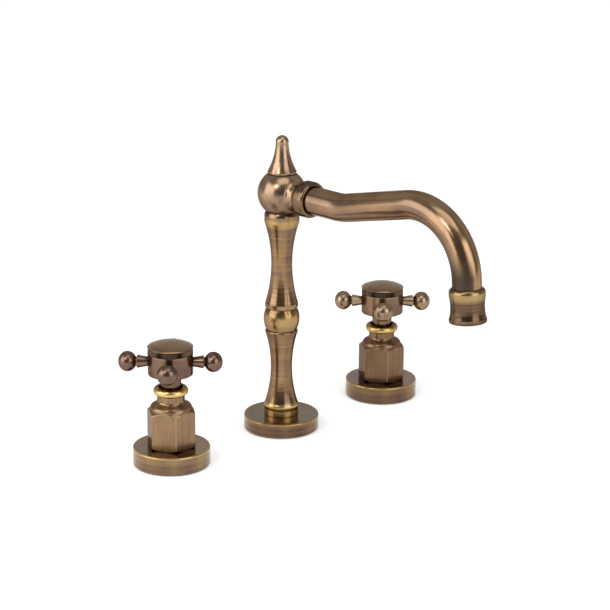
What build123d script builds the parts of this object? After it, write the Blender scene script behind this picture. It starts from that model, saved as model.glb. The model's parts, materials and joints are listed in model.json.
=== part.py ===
from build123d import *
import os
from math import cos, radians, sin, sqrt, tan

# Three-hole basin mixer: a hot valve, a swivel spout pillar and a cold valve on one deck.
# The deck's top is z = 0, the pillar stands on the Z axis and the spout points along -Y.
# Hot is at -X and cold at +X. All sizes are millimetres, angles are degrees.

# Layout on the deck
VALVE_SPACING = 203.2
PILLAR_H = 156.6
DECK_THICKNESS = 20.0

# Clearances, radial unless said otherwise
RUNNING_FIT = 0.05
THREAD_FIT = 0.10
SLIP_FIT = 0.20
SEAT_GAP = 0.30
FACE_GAP = 0.03

# Deck flanges and their gaskets
VALVE_FLANGE_R = 25.9
VALVE_FLANGE_H = 12.7
SPOUT_FLANGE_R = 26.2
SPOUT_FLANGE_H = 10.5
FLANGE_EDGE = 0.9
FLANGE_FOOT = 0.6
GASKET_T = 2.0
GASKET_PROUD = 0.3
GASKET_RIM = 2.4

# Valve body: tail, tee and threaded shank below the deck, plain tube above it
VALVE_SHANK_R = 13.2
VALVE_SHANK_DROP = 36.0
SHANK_BELOW_FLANGE_TOP = 3.0
VALVE_TUBE_R = 11.0
TEE_R = 15.5
TEE_H = 30.0
TAIL_R = 10.48
TAIL_H = 16.0
TAIL_BORE_R = 6.0
OUTLET_BOSS_R = 10.4
OUTLET_BOSS_H = 1.5
OUTLET_R = 8.33
OUTLET_H = 12.0
OUTLET_BORE_R = 5.0
OUTLET_BELOW_TEE_TOP = 11.0
SEAT_BELOW_TEE_TOP = 22.0
FLOW_CHAMBER_R = 11.6
FLOW_CHAMBER_H = 15.0

# Lock nuts and deck washers
NUT_H = 8.0
NUT_WALL = 4.2
NUT_CHAMFER = 30.0
WASHER_T = 2.0
WASHER_RIM = 8.0

# Hexagonal shroud: turned foot, six flats, domed shoulder, neck and rolled lip
HEX_AF = 29.4
HEX_FOOT_R = 14.8
HEX_FOOT_H = 1.5
HEX_H = 24.2
CORNER_CUT_H = 2.6
SHOULDER_R = 14.0
DOME_H = 5.7
DOME_SHOULDER_PULL = 0.60
DOME_NECK_PULL = 0.45
NECK_R = 9.3
NECK_H = 3.6
LIP_R = 11.7
LIP_H = 5.5
MOUTH_R = 8.3
MOUTH_DEPTH = 5.0
SHROUD_CROWN = 1.0

# Ceramic cartridge
CARTRIDGE_R = 9.0
CARTRIDGE_FLANGE_T = 1.6
CARTRIDGE_NECK_R = 6.4
DISC_R = 7.4
DISC_T = 3.0
DISC_PORT_R = 6.2
DISC_PORT_INNER_R = 2.2
DISC_PORT_ANGLE = 80.0
QUARTER_TURN = 90.0
SEAL_T = 2.5
SEAL_BORE_R = 5.2
CHAMBER_H = 14.0
WINDOW_W = 7.0
WINDOW_H = 4.0
SPINDLE_R = 3.95
TONGUE_W = 3.0
TONGUE_L = 12.0
TONGUE_H = 3.0
TONGUE_SINK = 1.5

# Cross handle: stem, hub, four arms and a domed cap
STEM_SINK = 4.3
STEM_H = 13.1
STEM_R = 6.7
STEM_TOP_R = 7.3
HUB_R = 15.1
HUB_H = 14.8
HUB_EDGE = 0.8
SPINDLE_IN_HUB = 14.0
SCREW_R = 2.0
SCREW_HEAD_R = 4.2
SCREW_HEAD_H = 3.5
SCREW_L = 14.0
HUB_WEB = 2.0
ARM_COUNT = 4
ARM_START_ANGLE = 45.0
ARM_RISE = 8.5
ARM_TAIL_R = 2.0
ARM_TAIL_L = 5.0
ARM_ROOT_R = 2.7
ARM_END_R = 4.4
ARM_L = 6.9
ARM_GROOVE_R = 3.1
ARM_GROOVE_L = 0.2
KNOB_R = 6.85
KNOB_L = 12.4
CAP_RIM_PROUD = 0.2
CAP_RIM_H = 1.2
CAP_RIM_EDGE = 0.5
CAP_DOME_INSET = 0.6
CAP_DOME_H = 3.3
CAP_BAND_INSET = 0.6
CAP_BAND_H = 3.6
CAP_PLUG_INSET = 3.1
CAP_PLUG_H = 2.4

# Spout pillar: foot ring, lower baluster, bead and upper baluster
FOOT_RING_R = 11.8
FOOT_RING_H = 3.9
FOOT_GROOVE_R = 11.0
FOOT_GROOVE_H = 0.7
FOOT_BAND_H = 4.4
FOOT_BAND_BULGE = 0.8
LOWER_SHARE = 0.475
LOWER_FOOT_R = 12.2
LOWER_WAIST_R = 7.45
LOWER_TOP_R = 11.35
LOWER_WAIST_SHARE = 0.50
BEAD_H = 15.6
BEAD_R = 12.5
BEAD_END_R = 10.6
UPPER_FOOT_R = 11.4
UPPER_WAIST_R = 7.28
UPPER_TOP_R = 12.05
UPPER_HEAD_H = 7.2
UPPER_CROWN_R = 11.2
BALUSTER_LIP_H = 1.8
LIP_INSET = 0.7
LIP_ROLL_R = 0.14
LIP_ROLL_H = 1.1
UPPER_BAND_H = 3.3
UPPER_ROLL_R = 0.15
UPPER_ROLL_H = 2.5

# Spout shank, riser tube and tee
SPOUT_SHANK_R = 10.48
SPOUT_SHANK_DROP = 58.0
SHANK_PLUG_R = 8.5
SHANK_PLUG_H = 11.5
RISER_R = 5.5
RISER_BORE_R = 4.2
RISER_SINK = 20.0
RISER_BELOW_CHAMBER = 2.0
SPOUT_TEE_R = 14.5
SPOUT_TEE_H = 30.0
SPOUT_TEE_SOCKET = 12.0

# Swivel: spigot, two seal rings, clip and slip ring
SPIGOT_R = 6.35
SPIGOT_BORE_R = 4.3
SPIGOT_IN_HEAD = 6.5
SOCKET_H = 14.0
CLIP_CHAMBER_R = 7.1
CLIP_CHAMBER_H = 6.5
CLIP_T = 1.2
CLIP_BITE = 0.7
CLIP_PROUD = 0.6
SPIGOT_TAIL = 1.6
ORING_SECTION = 1.3
ORING_SPACING = 5.0
ORING_FROM_TOP = 4.0
SLIP_RING_R = 10.6
SLIP_RING_T = 0.8

# Swivel head, finial and spout union
HEAD_R = 16.7
HEAD_FOOT_R = 11.6
HEAD_WATERWAY_R = 7.2
FINIAL_BASE_R = 9.9
FINIAL_BASE_H = 1.7
FINIAL_CREASE_H = 0.9
FINIAL_CREASE_DEPTH = 1.0
FINIAL_H = 26.4
FINIAL_TIP_R = 4.5
FINIAL_NECK_R = 4.3
FINIAL_SWEEP_H = 0.42
FINIAL_SWEEP_R = 0.36
FINIAL_STUD_R = 4.0
FINIAL_STUD_L = 6.0
BOSS_R = 10.6
BOSS_REACH = 24.6
THROAT_DEPTH = 1.4
THROAT_GAP = 0.6
UNION_WASHER_T = 1.4
COLLAR_R = 12.4
COLLAR_REACH = 22.4
COLLAR_L = 8.6
COLLAR_ROUND = 3.6
COLLAR_BACK_ROUND = 1.0
COLLAR_MOUTH_GAP = 0.6
COLLAR_FACE_W = 0.5
TUBE_FLANGE_T = 2.0

# Spout tube: level start, rise, long bend and tail
TUBE_R = 9.5
TUBE_WALL = 1.2
TUBE_LEVEL_REACH = 58.0
TUBE_RISE_ANGLE = 12.6
TUBE_FIRST_BEND_R = 45.0
TUBE_BEND_R = 43.2
TUBE_TAIL_REACH = 165.9
TUBE_TAIL_TILT = 4.4
TUBE_TAIL_DROP = 36.6

# Nozzle and aerator, measured along the tail's own axis
NOZZLE_H = 22.3
NOZZLE_SLEEVE = 5.6
NOZZLE_BAND_R = 11.75
NOZZLE_BAND_H = 5.6
NOZZLE_BAND_CREST = 3.1
NOZZLE_BAND_ROLL_R = 0.35
NOZZLE_BAND_ROLL_H = 1.4
NOZZLE_BAND_DRAFT = 0.1
NOZZLE_MOUTH_W = 0.4
NOZZLE_WAIST_R = 11.0
NOZZLE_LIP_R = 12.15
NOZZLE_LIP_H = 3.0
NOZZLE_LIP_STEP = 0.4
NOZZLE_EDGE = 0.9
AERATOR_R = 9.3
AERATOR_H = 9.5
AERATOR_RECESS = 1.0
AERATOR_SEAT_W = 1.6
AERATOR_HOLE_R = 0.9
AERATOR_RINGS = 2
AERATOR_PITCH = 3.2
AERATOR_FLOOR = 2.0

# Share of a radius at which a curve's handle makes a quarter of an ellipse
KAPPA = 0.5523

# Corner radius of a hexagon over half its width across flats
HEX_CORNER = 2 / sqrt(3)

# Heights that follow from the sizes above
HOT_X = -VALVE_SPACING / 2
COLD_X = VALVE_SPACING / 2
SHROUD_Z = VALVE_FLANGE_H
SHOULDER_Z = SHROUD_Z + HEX_H + CORNER_CUT_H
NECK_Z = SHOULDER_Z + DOME_H
LIP_Z = NECK_Z + NECK_H
SHROUD_TOP = LIP_Z + LIP_H
MOUTH_Z = SHROUD_TOP - MOUTH_DEPTH
CEILING_Z = SHOULDER_Z + SHROUD_CROWN
VALVE_TUBE_TOP = CEILING_Z - SEAT_GAP - CARTRIDGE_FLANGE_T
TEE_TOP = -VALVE_SHANK_DROP
OUTLET_Z = TEE_TOP - OUTLET_BELOW_TEE_TOP
VALVE_SEAT_Z = TEE_TOP - SEAT_BELOW_TEE_TOP
FIXED_DISC_Z = VALVE_SEAT_Z + SEAL_T
TURNING_DISC_Z = FIXED_DISC_Z + DISC_T + FACE_GAP
TONGUE_Z = TURNING_DISC_Z + DISC_T - TONGUE_SINK
STEM_Z = SHROUD_TOP - STEM_SINK
HUB_Z = STEM_Z + STEM_H
HUB_TOP = HUB_Z + HUB_H
ARM_Z = HUB_Z + ARM_RISE
CAP_RIM_Z = HUB_TOP + CAP_BAND_H
CAP_RIM_R = HUB_R + CAP_RIM_PROUD
CAP_BAND_R = HUB_R - CAP_BAND_INSET
CAP_PLUG_R = HUB_R - CAP_PLUG_INSET
SPINDLE_TOP = STEM_Z + SPINDLE_IN_HUB
SCREW_HEAD_Z = SPINDLE_TOP + HUB_WEB
CLAMP_Z = -DECK_THICKNESS
LOWER_Z = SPOUT_FLANGE_H
COLUMN_TOP = PILLAR_H
LOWER_H = LOWER_SHARE * (COLUMN_TOP - LOWER_Z - BEAD_H)
BEAD_Z = LOWER_Z + LOWER_H
UPPER_Z = BEAD_Z + BEAD_H
HEAD_BOTTOM = COLUMN_TOP + SLIP_RING_T + FACE_GAP
HEAD_Z = HEAD_BOTTOM + sqrt(HEAD_R**2 - HEAD_FOOT_R**2)
FINIAL_Z = HEAD_Z + sqrt(HEAD_R**2 - FINIAL_BASE_R**2)
SOCKET_Z = COLUMN_TOP - SOCKET_H
CLIP_CHAMBER_Z = SOCKET_Z - CLIP_CHAMBER_H
CLIP_Z = SOCKET_Z - SEAT_GAP - CLIP_T
SPIGOT_Z = CLIP_Z - SPIGOT_TAIL
TUBE_START_REACH = BOSS_REACH + UNION_WASHER_T
TUBE_FLANGE_R = BOSS_R
COLLAR_BORE_R = BOSS_R + THREAD_FIT
RECESS_WALL_R = TUBE_R + COLLAR_MOUTH_GAP


def turned(*outline):
    """A solid turned about Z from a closed outline of radius and height."""
    edges = [edge for curve in outline for edge in curve.edges()]
    return revolve(Plane.XZ * make_face(edges), Axis.Z)


def ring(outer_r, inner_r, z, height):
    """A plain ring that stands on height z."""
    return Pos(0, 0, z) * extrude(Circle(outer_r) - Circle(inner_r), height)


def rod(radius, z, height):
    """A plain cylinder that stands on height z."""
    return Pos(0, 0, z) * extrude(Circle(radius), height)


def hex_prism(across_flats, z, height):
    """A hexagonal bar with two corners on the X axis and a flat towards the user."""
    outline = RegularPolygon(across_flats / 2, 6, major_radius=False)
    return Pos(0, 0, z) * extrude(outline, height)


def forward(piece, reach, z):
    """Turns a piece made along +Z to point along -Y and moves it to its reach and height."""
    return Pos(0, -reach, z) * Rot(90, 0, 0) * piece


# Pieces that the valves and the spout share

def flange(radius, height, shank_r):
    """Turned deck flange with a gasket recess in its underside."""
    bore_r = shank_r + THREAD_FIT
    recess_r = radius - GASKET_RIM
    return turned(
        Polyline(
            (radius - FLANGE_EDGE, height),
            (bore_r, height),
            (bore_r, GASKET_T),
            (recess_r, GASKET_T),
            (recess_r, GASKET_PROUD),
            (radius - FLANGE_FOOT, GASKET_PROUD),
            (radius, GASKET_PROUD + FLANGE_FOOT),
            (radius, height - FLANGE_EDGE),
        ),
        CenterArc((radius - FLANGE_EDGE, height - FLANGE_EDGE), FLANGE_EDGE, 0, 90),
    )


def gasket(flange_r, shank_r):
    """Flat rubber ring that fills the flange's recess and lies on the deck."""
    return ring(flange_r - GASKET_RIM - SLIP_FIT, shank_r + SLIP_FIT, 0, GASKET_T)


def deck_washer(shank_r):
    """Flat washer under the deck."""
    return ring(shank_r + WASHER_RIM, shank_r + SLIP_FIT, CLAMP_Z - WASHER_T, WASHER_T)


def lock_nut(shank_r):
    """Hexagonal lock nut with chamfered corners, tight under the deck washer."""
    across_flats = 2 * (shank_r + NUT_WALL)
    corner_r = HEX_CORNER * across_flats / 2
    chamfer = corner_r - across_flats / 2
    bottom = CLAMP_Z - WASHER_T - NUT_H
    top = bottom + NUT_H
    blank = turned(
        Polyline(
            (0, bottom),
            (across_flats / 2, bottom),
            (corner_r, bottom + chamfer * tan(radians(NUT_CHAMFER))),
            (corner_r, top - chamfer * tan(radians(NUT_CHAMFER))),
            (across_flats / 2, top),
            (0, top),
            (0, bottom),
        )
    )
    nut = blank & hex_prism(across_flats, bottom, NUT_H)
    return nut - rod(shank_r + THREAD_FIT, bottom, NUT_H)


# Pieces of one valve, made about the Z axis

def shroud():
    """Hexagonal shroud: six flats under a domed shoulder, a neck and a rolled lip."""
    corner_r = HEX_CORNER * HEX_AF / 2
    outline = turned(
        Polyline(
            (0, SHROUD_Z),
            (HEX_FOOT_R, SHROUD_Z),
            (corner_r, SHROUD_Z + HEX_FOOT_H),
            (corner_r, SHROUD_Z + HEX_H),
            (SHOULDER_R, SHOULDER_Z),
        ),
        Bezier(
            (SHOULDER_R, SHOULDER_Z),
            (SHOULDER_R, SHOULDER_Z + DOME_SHOULDER_PULL * DOME_H),
            (NECK_R, NECK_Z - DOME_NECK_PULL * DOME_H),
            (NECK_R, NECK_Z),
        ),
        Line((NECK_R, NECK_Z), (NECK_R, LIP_Z)),
        ThreePointArc(
            (NECK_R, LIP_Z), (LIP_R, LIP_Z + LIP_H / 2), (NECK_R, SHROUD_TOP)
        ),
        Polyline((NECK_R, SHROUD_TOP), (0, SHROUD_TOP), (0, SHROUD_Z)),
    )
    shell = outline & hex_prism(HEX_AF, SHROUD_Z, SHROUD_TOP - SHROUD_Z)
    tube_bore = rod(VALVE_TUBE_R + THREAD_FIT, SHROUD_Z, CEILING_Z - SHROUD_Z)
    neck_bore = rod(CARTRIDGE_NECK_R + SLIP_FIT, SHROUD_Z, MOUTH_Z - SHROUD_Z)
    mouth = rod(MOUTH_R, MOUTH_Z, MOUTH_DEPTH)
    return shell - tube_bore - neck_bore - mouth


def valve_body():
    """Brass body: inlet tail, tee with a side outlet, threaded shank and cartridge tube."""
    shank_top = VALVE_FLANGE_H - SHANK_BELOW_FLANGE_TOP
    tee_bottom = TEE_TOP - TEE_H
    tail_bottom = tee_bottom - TAIL_H
    chamber_top = OUTLET_Z + FLOW_CHAMBER_H / 2
    guide_r = CARTRIDGE_R + SLIP_FIT
    body = (
        rod(TAIL_R, tail_bottom, TAIL_H)
        + rod(TEE_R, tee_bottom, TEE_H)
        + rod(VALVE_SHANK_R, TEE_TOP, shank_top - TEE_TOP)
        + rod(VALVE_TUBE_R, shank_top, VALVE_TUBE_TOP - shank_top)
    )
    boss_reach = TEE_R + OUTLET_BOSS_H
    outlet_reach = boss_reach + OUTLET_H
    sideways = Pos(0, 0, OUTLET_Z) * Rot(0, 90, 0)
    return (
        body
        + sideways * rod(OUTLET_BOSS_R, 0, boss_reach)
        + sideways * rod(OUTLET_R, 0, outlet_reach)
        - sideways * rod(OUTLET_BORE_R, 0, outlet_reach)
        - rod(TAIL_BORE_R, tail_bottom, VALVE_SEAT_Z - tail_bottom)
        - rod(guide_r, VALVE_SEAT_Z, VALVE_TUBE_TOP - VALVE_SEAT_Z)
        - rod(FLOW_CHAMBER_R, chamber_top - FLOW_CHAMBER_H, FLOW_CHAMBER_H)
    )


def cartridge():
    """Cartridge housing: disc chamber with two windows, long barrel, flange and neck."""
    bottom = VALVE_SEAT_Z + SEAT_GAP
    chamber_top = bottom + CHAMBER_H
    housing = (
        rod(CARTRIDGE_R, bottom, VALVE_TUBE_TOP - bottom)
        + rod(VALVE_TUBE_R, VALVE_TUBE_TOP, CARTRIDGE_FLANGE_T)
        + rod(CARTRIDGE_NECK_R, VALVE_TUBE_TOP, MOUTH_Z - VALVE_TUBE_TOP)
    )
    window = Pos(0, 0, chamber_top - WINDOW_H / 2) * Box(WINDOW_W, 4 * CARTRIDGE_R, WINDOW_H)
    return (
        housing
        - rod(DISC_R + RUNNING_FIT, bottom, CHAMBER_H)
        - rod(SPINDLE_R + RUNNING_FIT, bottom, MOUTH_Z - bottom)
        - window
    )


def disc_ports(z, turn):
    """Two opposite sector ports of a ceramic disc, turned about Z."""
    sweep_angle = DISC_PORT_ANGLE
    start = turn - sweep_angle / 2
    outer = CenterArc((0, 0), DISC_PORT_R, start, sweep_angle)
    inner = CenterArc((0, 0), DISC_PORT_INNER_R, start, sweep_angle)
    sector = make_face([outer, inner, Line(outer @ 0, inner @ 0), Line(outer @ 1, inner @ 1)])
    port = Pos(0, 0, z) * extrude(sector, DISC_T)
    return port + Rot(0, 0, 180) * port


def fixed_disc():
    """Lower ceramic disc, still in the housing."""
    return rod(DISC_R, FIXED_DISC_Z, DISC_T) - disc_ports(FIXED_DISC_Z, 0)


def turning_disc():
    """Upper ceramic disc, a quarter turn away from the open place, with a drive slot."""
    slot = Pos(0, 0, TONGUE_Z + TONGUE_SINK / 2) * Box(
        TONGUE_L + 2 * RUNNING_FIT, TONGUE_W + 2 * RUNNING_FIT, TONGUE_SINK
    )
    return rod(DISC_R, TURNING_DISC_Z, DISC_T) - disc_ports(TURNING_DISC_Z, QUARTER_TURN) - slot


def seat_seal():
    """Rubber ring between the fixed disc and the seat in the body."""
    return ring(DISC_R, SEAL_BORE_R, VALVE_SEAT_Z, SEAL_T)


def spindle():
    """Spindle with a drive tongue below and a tapped end inside the handle."""
    tongue_top = TONGUE_Z + TONGUE_H
    tongue = Pos(0, 0, TONGUE_Z + TONGUE_H / 2) * Box(TONGUE_L, TONGUE_W, TONGUE_H)
    shaft = rod(SPINDLE_R, tongue_top, SPINDLE_TOP - tongue_top)
    tapped = rod(SCREW_R + THREAD_FIT, SPINDLE_TOP - SCREW_L, SCREW_L)
    return tongue + shaft - tapped


def handle_hub():
    """Handle hub with its stem, arm sockets, spindle socket and cap recess."""
    blank = turned(
        Polyline(
            (0, STEM_Z),
            (STEM_R, STEM_Z),
            (STEM_TOP_R, HUB_Z),
            (HUB_R - HUB_EDGE, HUB_Z),
        ),
        CenterArc((HUB_R - HUB_EDGE, HUB_Z + HUB_EDGE), HUB_EDGE, -90, 90),
        Polyline((HUB_R, HUB_Z + HUB_EDGE), (HUB_R, HUB_TOP), (0, HUB_TOP), (0, STEM_Z)),
    )
    spindle_socket = rod(SPINDLE_R + RUNNING_FIT, STEM_Z, SPINDLE_TOP - STEM_Z)
    screw_hole = rod(SCREW_R + SLIP_FIT, STEM_Z, SCREW_HEAD_Z - STEM_Z)
    head_well = rod(SCREW_HEAD_R + SLIP_FIT, SCREW_HEAD_Z, HUB_TOP - SCREW_HEAD_Z)
    cap_recess = rod(CAP_PLUG_R + THREAD_FIT, HUB_TOP - CAP_PLUG_H, CAP_PLUG_H)
    hub = blank - spindle_socket - screw_hole - head_well - cap_recess
    socket_depth = ARM_TAIL_L + SEAT_GAP
    socket = rod(ARM_TAIL_R + THREAD_FIT, HUB_R - socket_depth, 2 * socket_depth)
    for index in range(ARM_COUNT):
        hub -= at_arm(socket, index)
    return hub


def at_arm(piece, index):
    """Turns a piece made along +Z outwards to the place of one handle arm."""
    angle = ARM_START_ANGLE + index * 360 / ARM_COUNT
    return Pos(0, 0, ARM_Z) * Rot(0, 0, angle) * Rot(0, 90, 0) * piece


def flattened_ball(radius, length, z):
    """A ball turned about Z, shorter than it is wide, that starts at height z."""
    middle = z + length / 2
    top = z + length
    side = KAPPA * radius
    rise = KAPPA * length / 2
    return turned(
        Bezier((0, z), (side, z), (radius, middle - rise), (radius, middle)),
        Bezier((radius, middle), (radius, middle + rise), (side, top), (0, top)),
        Line((0, top), (0, z)),
    )


def handle_arm():
    """One arm, turned about Z: threaded tail, flaring cone, groove and flattened ball."""
    root = HUB_R - ARM_ROOT_R
    cone_end = HUB_R + ARM_L
    knob_z = cone_end + ARM_GROOVE_L
    shaft = turned(
        Polyline(
            (0, HUB_R - ARM_TAIL_L),
            (ARM_TAIL_R, HUB_R - ARM_TAIL_L),
            (ARM_TAIL_R, root),
            (ARM_ROOT_R, root),
            (ARM_END_R, cone_end),
            (ARM_GROOVE_R, cone_end),
            (ARM_GROOVE_R, knob_z + KNOB_L / 2),
            (0, knob_z + KNOB_L / 2),
            (0, HUB_R - ARM_TAIL_L),
        )
    )
    return shaft - arm_root_trim() + flattened_ball(KNOB_R, KNOB_L, knob_z)


def arm_root_trim():
    """What the hub's round side takes off an arm's root, around its tail."""
    hub_side = Rot(0, 90, 0) * rod(HUB_R + FACE_GAP, -HUB_H, 2 * HUB_H)
    return hub_side - rod(ARM_TAIL_R, 0, 2 * HUB_R)


def handle_cap():
    """Domed cap: plug, recessed band, rim and dome."""
    rim_top = CAP_RIM_Z + CAP_RIM_H
    dome_r = CAP_RIM_R - CAP_DOME_INSET
    sphere_r = (dome_r**2 + CAP_DOME_H**2) / (2 * CAP_DOME_H)
    half_x = dome_r / 2
    half_z = rim_top + CAP_DOME_H - sphere_r + sqrt(sphere_r**2 - half_x**2)
    return turned(
        Polyline(
            (0, HUB_TOP - CAP_PLUG_H),
            (CAP_PLUG_R, HUB_TOP - CAP_PLUG_H),
            (CAP_PLUG_R, HUB_TOP),
            (CAP_BAND_R, HUB_TOP),
            (CAP_BAND_R, CAP_RIM_Z),
            (CAP_RIM_R - CAP_RIM_EDGE, CAP_RIM_Z),
            (CAP_RIM_R, CAP_RIM_Z + CAP_RIM_EDGE),
            (CAP_RIM_R, rim_top - CAP_DOME_INSET),
            (dome_r, rim_top),
        ),
        ThreePointArc((dome_r, rim_top), (half_x, half_z), (0, rim_top + CAP_DOME_H)),
        Line((0, rim_top + CAP_DOME_H), (0, HUB_TOP - CAP_PLUG_H)),
    )


def handle_screw():
    """Cheese-head screw that holds the hub on the spindle."""
    shank_bottom = SPINDLE_TOP - SCREW_L + SEAT_GAP
    shank = rod(SCREW_R, shank_bottom, SCREW_HEAD_Z - shank_bottom)
    return shank + rod(SCREW_HEAD_R, SCREW_HEAD_Z, SCREW_HEAD_H)


# Pieces of the spout

def spout_shank():
    """Threaded shank through the deck with a plug that carries the pillar."""
    shoulder = SPOUT_FLANGE_H - SHANK_BELOW_FLANGE_TOP
    plug_top = SPOUT_FLANGE_H + SHANK_PLUG_H
    shank = rod(SPOUT_SHANK_R, -SPOUT_SHANK_DROP, shoulder + SPOUT_SHANK_DROP)
    plug = rod(SHANK_PLUG_R, shoulder, plug_top - shoulder)
    riser_socket = rod(RISER_R + THREAD_FIT, -RISER_SINK, plug_top + RISER_SINK)
    waterway = rod(RISER_BORE_R, -SPOUT_SHANK_DROP, SPOUT_SHANK_DROP)
    return shank + plug - riser_socket - waterway


def spout_riser():
    """Water tube that runs up the pillar and holds its sections together."""
    top = CLIP_CHAMBER_Z - RISER_BELOW_CHAMBER
    return ring(RISER_R, RISER_BORE_R, -RISER_SINK, top + RISER_SINK)


def column_lower():
    """Foot ring, rolled foot band and lower baluster."""
    foot_top = LOWER_Z + FOOT_RING_H
    band_z = foot_top + FOOT_GROOVE_H
    curve_z = band_z + FOOT_BAND_H
    flare_r = LOWER_FOOT_R - FOOT_BAND_BULGE
    curve_top = BEAD_Z - BALUSTER_LIP_H
    waist_z = curve_z + LOWER_WAIST_SHARE * (curve_top - curve_z)
    blank = turned(
        Polyline(
            (0, LOWER_Z),
            (FOOT_RING_R, LOWER_Z),
            (FOOT_RING_R, foot_top),
            (FOOT_GROOVE_R, foot_top),
            (FOOT_GROOVE_R, band_z),
            (flare_r, band_z),
        ),
        ThreePointArc((flare_r, band_z), (LOWER_FOOT_R, band_z + FOOT_BAND_H / 2), (flare_r, curve_z)),
        ThreePointArc((flare_r, curve_z), (LOWER_WAIST_R, waist_z), (LOWER_TOP_R, curve_top)),
        ThreePointArc(
            (LOWER_TOP_R, curve_top),
            (LOWER_TOP_R - LIP_ROLL_R, curve_top + LIP_ROLL_H),
            (LOWER_TOP_R - LIP_INSET, BEAD_Z),
        ),
        Polyline((LOWER_TOP_R - LIP_INSET, BEAD_Z), (0, BEAD_Z), (0, LOWER_Z)),
    )
    plug_socket = rod(SHANK_PLUG_R + THREAD_FIT, LOWER_Z, SHANK_PLUG_H + SEAT_GAP)
    return blank - plug_socket - rod(RISER_R + THREAD_FIT, LOWER_Z, LOWER_H)


def column_bead():
    """Barrel-shaped bead between the two balusters."""
    blank = turned(
        Line((0, BEAD_Z), (BEAD_END_R, BEAD_Z)),
        ThreePointArc((BEAD_END_R, BEAD_Z), (BEAD_R, BEAD_Z + BEAD_H / 2), (BEAD_END_R, UPPER_Z)),
        Polyline((BEAD_END_R, UPPER_Z), (0, UPPER_Z), (0, BEAD_Z)),
    )
    return blank - rod(RISER_R + THREAD_FIT, BEAD_Z, BEAD_H)


def column_upper():
    """Upper baluster with the swivel socket in its head."""
    curve_z = UPPER_Z + 2 * BALUSTER_LIP_H
    head_z = COLUMN_TOP - UPPER_HEAD_H
    band_top = head_z + UPPER_BAND_H
    waist_z = (curve_z + head_z) / 2
    blank = turned(
        Line((0, UPPER_Z), (UPPER_FOOT_R - LIP_INSET, UPPER_Z)),
        ThreePointArc(
            (UPPER_FOOT_R - LIP_INSET, UPPER_Z),
            (UPPER_FOOT_R - LIP_ROLL_R, UPPER_Z + BALUSTER_LIP_H - LIP_ROLL_H),
            (UPPER_FOOT_R, UPPER_Z + BALUSTER_LIP_H),
        ),
        Line((UPPER_FOOT_R, UPPER_Z + BALUSTER_LIP_H), (UPPER_FOOT_R, curve_z)),
        ThreePointArc((UPPER_FOOT_R, curve_z), (UPPER_WAIST_R, waist_z), (UPPER_TOP_R, head_z)),
        Line((UPPER_TOP_R, head_z), (UPPER_TOP_R, band_top)),
        ThreePointArc(
            (UPPER_TOP_R, band_top),
            (UPPER_TOP_R - UPPER_ROLL_R, band_top + UPPER_ROLL_H),
            (UPPER_CROWN_R, COLUMN_TOP),
        ),
        Polyline((UPPER_CROWN_R, COLUMN_TOP), (0, COLUMN_TOP), (0, UPPER_Z)),
    )
    return (
        blank
        - rod(RISER_R + THREAD_FIT, UPPER_Z, CLIP_CHAMBER_Z - UPPER_Z)
        - rod(CLIP_CHAMBER_R, CLIP_CHAMBER_Z, CLIP_CHAMBER_H)
        - rod(SPIGOT_R + RUNNING_FIT, SOCKET_Z, SOCKET_H)
    )


def spout_tee():
    """Tee under the deck with one inlet from each valve."""
    top = SPOUT_TEE_SOCKET - SPOUT_SHANK_DROP
    bottom = top - SPOUT_TEE_H
    inlet_z = (bottom - SPOUT_SHANK_DROP) / 2
    boss_span = 2 * (SPOUT_TEE_R + OUTLET_BOSS_H)
    span = boss_span + 2 * OUTLET_H
    crossways = Pos(0, 0, inlet_z) * Rot(0, 90, 0)
    return (
        rod(SPOUT_TEE_R, bottom, SPOUT_TEE_H)
        + crossways * rod(OUTLET_BOSS_R, -boss_span / 2, boss_span)
        + crossways * rod(OUTLET_R, -span / 2, span)
        - crossways * rod(OUTLET_BORE_R, -span / 2, span)
        - rod(RISER_BORE_R, inlet_z, top - inlet_z)
        - rod(SPOUT_SHANK_R + THREAD_FIT, -SPOUT_SHANK_DROP, SPOUT_TEE_SOCKET)
    )


def slip_ring():
    """Plastic ring that the swivel head runs on."""
    return ring(SLIP_RING_R, SPIGOT_R + SLIP_FIT, COLUMN_TOP, SLIP_RING_T)


def oring_heights():
    """Heights of the two seal rings on the spigot."""
    top = COLUMN_TOP - ORING_FROM_TOP
    return (top, top - ORING_SPACING)


def swivel_spigot():
    """Hollow spigot screwed into the head, with ring grooves and a clip groove."""
    spigot = ring(SPIGOT_R, SPIGOT_BORE_R, SPIGOT_Z, HEAD_BOTTOM + SPIGOT_IN_HEAD - SPIGOT_Z)
    groove_r = SPIGOT_R - ORING_SECTION - RUNNING_FIT
    groove_h = ORING_SECTION + 2 * RUNNING_FIT
    for z in oring_heights():
        spigot -= ring(2 * SPIGOT_R, groove_r, z - groove_h / 2, groove_h)
    clip_groove = ring(2 * SPIGOT_R, SPIGOT_R - CLIP_BITE, CLIP_Z, CLIP_T)
    return spigot - clip_groove


def spigot_orings():
    """The two rubber rings that seal the swivel."""
    centre_r = SPIGOT_R - ORING_SECTION / 2
    rings = [Pos(0, 0, z) * Torus(centre_r, ORING_SECTION / 2) for z in oring_heights()]
    return Compound(children=rings)


def spigot_clip():
    """Open spring clip that keeps the spigot in its socket."""
    clip = ring(SPIGOT_R + CLIP_PROUD, SPIGOT_R - CLIP_BITE + RUNNING_FIT, CLIP_Z, CLIP_T)
    return clip - Pos(0, SPIGOT_R, CLIP_Z + CLIP_T / 2) * Box(SPIGOT_R, SPIGOT_R, 2 * CLIP_T)


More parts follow.
